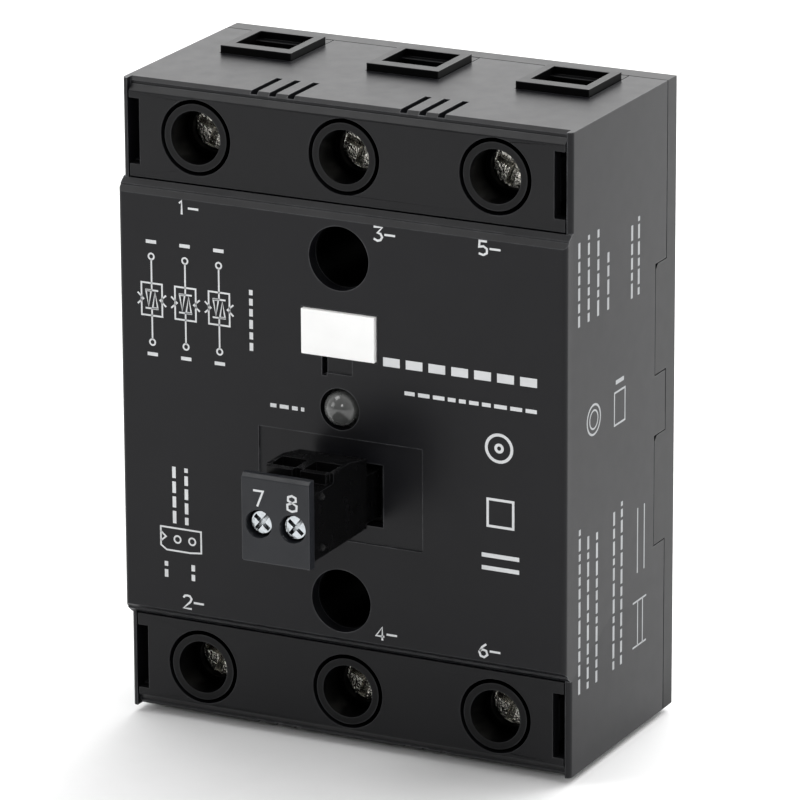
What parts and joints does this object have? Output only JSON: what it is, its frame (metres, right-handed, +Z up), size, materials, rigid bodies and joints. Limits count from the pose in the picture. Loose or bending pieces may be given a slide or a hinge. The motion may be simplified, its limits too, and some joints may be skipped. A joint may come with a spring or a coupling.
{
  "type": "solid state relay",
  "caption": "Black upright panel-mount solid state relay with wire collars above and below, a pull-off control plug, an indicator dome and a white tag.",
  "frame": {"origin": "centre of the flat rear face of the metal baseplate, which lies against the heat sink", "axes": "+Z up along the long side, front towards -Y, +X to the right seen from the front"},
  "size_m": [0.0676, 0.055, 0.0926],
  "materials": {
    "case_plastic": "fine satin texture",
    "terminal_plastic": "satin",
    "baseplate_metal": "milled",
    "seal_rubber": "matte",
    "screw_steel": "nickel plated",
    "board_laminate": "solder resist",
    "chip_plastic": "moulded",
    "capacitor_plastic": "moulded box",
    "resistor_enamel": "enamel",
    "varistor_enamel": "dipped enamel",
    "led_lens": "clear",
    "light_pipe_plastic": "translucent",
    "tile_ceramic": "fired ceramic",
    "copper": "bare copper",
    "chip_silicon": "polished silicon",
    "contact_metal": "tin plated brass",
    "tag_plastic": "smooth",
    "plug_plastic": "smooth",
    "plug_face_plastic": "fine texture",
    "clamp_steel": "zinc plated",
    "busbar_brass": "tinned brass"
  },
  "bodies": {
    "case": {"housing": "case_plastic", "terminal_cover_upper": "case_plastic", "terminal_cover_lower": "case_plastic", "base_frame": "case_plastic", "terminal_block_upper": "terminal_plastic", "terminal_block_lower": "terminal_plastic", "baseplate": "baseplate_metal", "base_seal": "seal_rubber", "baseplate_screws": "screw_steel", "control_board": "board_laminate", "optocouplers": "chip_plastic", "snubber_capacitors": "capacitor_plastic", "snubber_resistors": "resistor_enamel", "surge_suppressors": "varistor_enamel", "driver_chip": "chip_plastic", "board_resistors": "chip_plastic", "indicator_led": "led_lens", "light_pipe": "light_pipe_plastic", "power_substrates": "tile_ceramic", "copper_tracks": "copper", "thyristor_chips": "chip_silicon", "chip_straps": "copper", "gate_pins": "contact_metal", "input_header": "terminal_plastic", "header_pins": "contact_metal", "busbar_1": "busbar_brass", "busbar_2": "busbar_brass", "busbar_3": "busbar_brass", "busbar_4": "busbar_brass", "busbar_5": "busbar_brass", "busbar_6": "busbar_brass"},
    "marking_tag": {"marking_tag": "tag_plastic"},
    "control_plug": {"plug_body": "plug_plastic", "plug_face": "plug_face_plastic", "plug_contacts": "contact_metal"},
    "load_screw_1": {"load_screw_1": "screw_steel"},
    "clamp_cage_1": {"clamp_cage_1": "clamp_steel"},
    "load_screw_2": {"load_screw_2": "screw_steel"},
    "clamp_cage_2": {"clamp_cage_2": "clamp_steel"},
    "load_screw_3": {"load_screw_3": "screw_steel"},
    "clamp_cage_3": {"clamp_cage_3": "clamp_steel"},
    "load_screw_4": {"load_screw_4": "screw_steel"},
    "clamp_cage_4": {"clamp_cage_4": "clamp_steel"},
    "load_screw_5": {"load_screw_5": "screw_steel"},
    "clamp_cage_5": {"clamp_cage_5": "clamp_steel"},
    "load_screw_6": {"load_screw_6": "screw_steel"},
    "clamp_cage_6": {"clamp_cage_6": "clamp_steel"},
    "plug_screw_1": {"plug_screw_1": "screw_steel"},
    "plug_clamp_1": {"plug_clamp_1": "clamp_steel"},
    "plug_screw_2": {"plug_screw_2": "screw_steel"},
    "plug_clamp_2": {"plug_clamp_2": "clamp_steel"}
  },
  "joints": [
    {"name": "load_screw_1_turn", "type": "hinge", "parent": "case", "child": "load_screw_1", "pos_m": [-0.0225, -0.0256, 0.038], "axis": [0, 1, 0], "range_deg": [0, 2656]},
    {"name": "clamp_cage_1_rise", "type": "slide", "parent": "case", "child": "clamp_cage_1", "axis": [0, -1, 0], "range_m": [0, 0.0059]},
    {"name": "load_screw_2_turn", "type": "hinge", "parent": "case", "child": "load_screw_2", "pos_m": [-0.0225, -0.0256, -0.038], "axis": [0, 1, 0], "range_deg": [0, 2656]},
    {"name": "clamp_cage_2_rise", "type": "slide", "parent": "case", "child": "clamp_cage_2", "axis": [0, -1, 0], "range_m": [0, 0.0059]},
    {"name": "load_screw_3_turn", "type": "hinge", "parent": "case", "child": "load_screw_3", "pos_m": [0, -0.0256, 0.038], "axis": [0, 1, 0], "range_deg": [0, 2656]},
    {"name": "clamp_cage_3_rise", "type": "slide", "parent": "case", "child": "clamp_cage_3", "axis": [0, -1, 0], "range_m": [0, 0.0059]},
    {"name": "load_screw_4_turn", "type": "hinge", "parent": "case", "child": "load_screw_4", "pos_m": [0, -0.0256, -0.038], "axis": [0, 1, 0], "range_deg": [0, 2656]},
    {"name": "clamp_cage_4_rise", "type": "slide", "parent": "case", "child": "clamp_cage_4", "axis": [0, -1, 0], "range_m": [0, 0.0059]},
    {"name": "load_screw_5_turn", "type": "hinge", "parent": "case", "child": "load_screw_5", "pos_m": [0.0225, -0.0256, 0.038], "axis": [0, 1, 0], "range_deg": [0, 2656]},
    {"name": "clamp_cage_5_rise", "type": "slide", "parent": "case", "child": "clamp_cage_5", "axis": [0, -1, 0], "range_m": [0, 0.0059]},
    {"name": "load_screw_6_turn", "type": "hinge", "parent": "case", "child": "load_screw_6", "pos_m": [0.0225, -0.0256, -0.038], "axis": [0, 1, 0], "range_deg": [0, 2656]},
    {"name": "clamp_cage_6_rise", "type": "slide", "parent": "case", "child": "clamp_cage_6", "axis": [0, -1, 0], "range_m": [0, 0.0059]},
    {"name": "control_plug_pull", "type": "slide", "parent": "case", "child": "control_plug", "axis": [0, -1, 0], "range_m": [0, 0.012]},
    {"name": "marking_tag_pull", "type": "slide", "parent": "case", "child": "marking_tag", "axis": [0, -1, 0], "range_m": [0, 0.006]},
    {"name": "plug_screw_1_turn", "type": "hinge", "parent": "control_plug", "child": "plug_screw_1", "pos_m": [-0.00254, -0.0535, -0.0079], "axis": [0, 1, 0], "range_deg": [0, 1945]},
    {"name": "plug_clamp_1_rise", "type": "slide", "parent": "control_plug", "child": "plug_clamp_1", "axis": [0, -1, 0], "range_m": [0, 0.0027]},
    {"name": "plug_screw_2_turn", "type": "hinge", "parent": "control_plug", "child": "plug_screw_2", "pos_m": [0.00254, -0.0535, -0.0079], "axis": [0, 1, 0], "range_deg": [0, 1945]},
    {"name": "plug_clamp_2_rise", "type": "slide", "parent": "control_plug", "child": "plug_clamp_2", "axis": [0, -1, 0], "range_m": [0, 0.0027]}
  ],
  "couplings": [
    {"joint": "load_screw_1_turn", "follows": "clamp_cage_1_rise", "rad_per_m": 7854},
    {"joint": "load_screw_2_turn", "follows": "clamp_cage_2_rise", "rad_per_m": 7854},
    {"joint": "load_screw_3_turn", "follows": "clamp_cage_3_rise", "rad_per_m": 7854},
    {"joint": "load_screw_4_turn", "follows": "clamp_cage_4_rise", "rad_per_m": 7854},
    {"joint": "load_screw_5_turn", "follows": "clamp_cage_5_rise", "rad_per_m": 7854},
    {"joint": "load_screw_6_turn", "follows": "clamp_cage_6_rise", "rad_per_m": 7854},
    {"joint": "plug_screw_1_turn", "follows": "plug_clamp_1_rise", "rad_per_m": 12566},
    {"joint": "plug_screw_2_turn", "follows": "plug_clamp_2_rise", "rad_per_m": 12566}
  ]
}
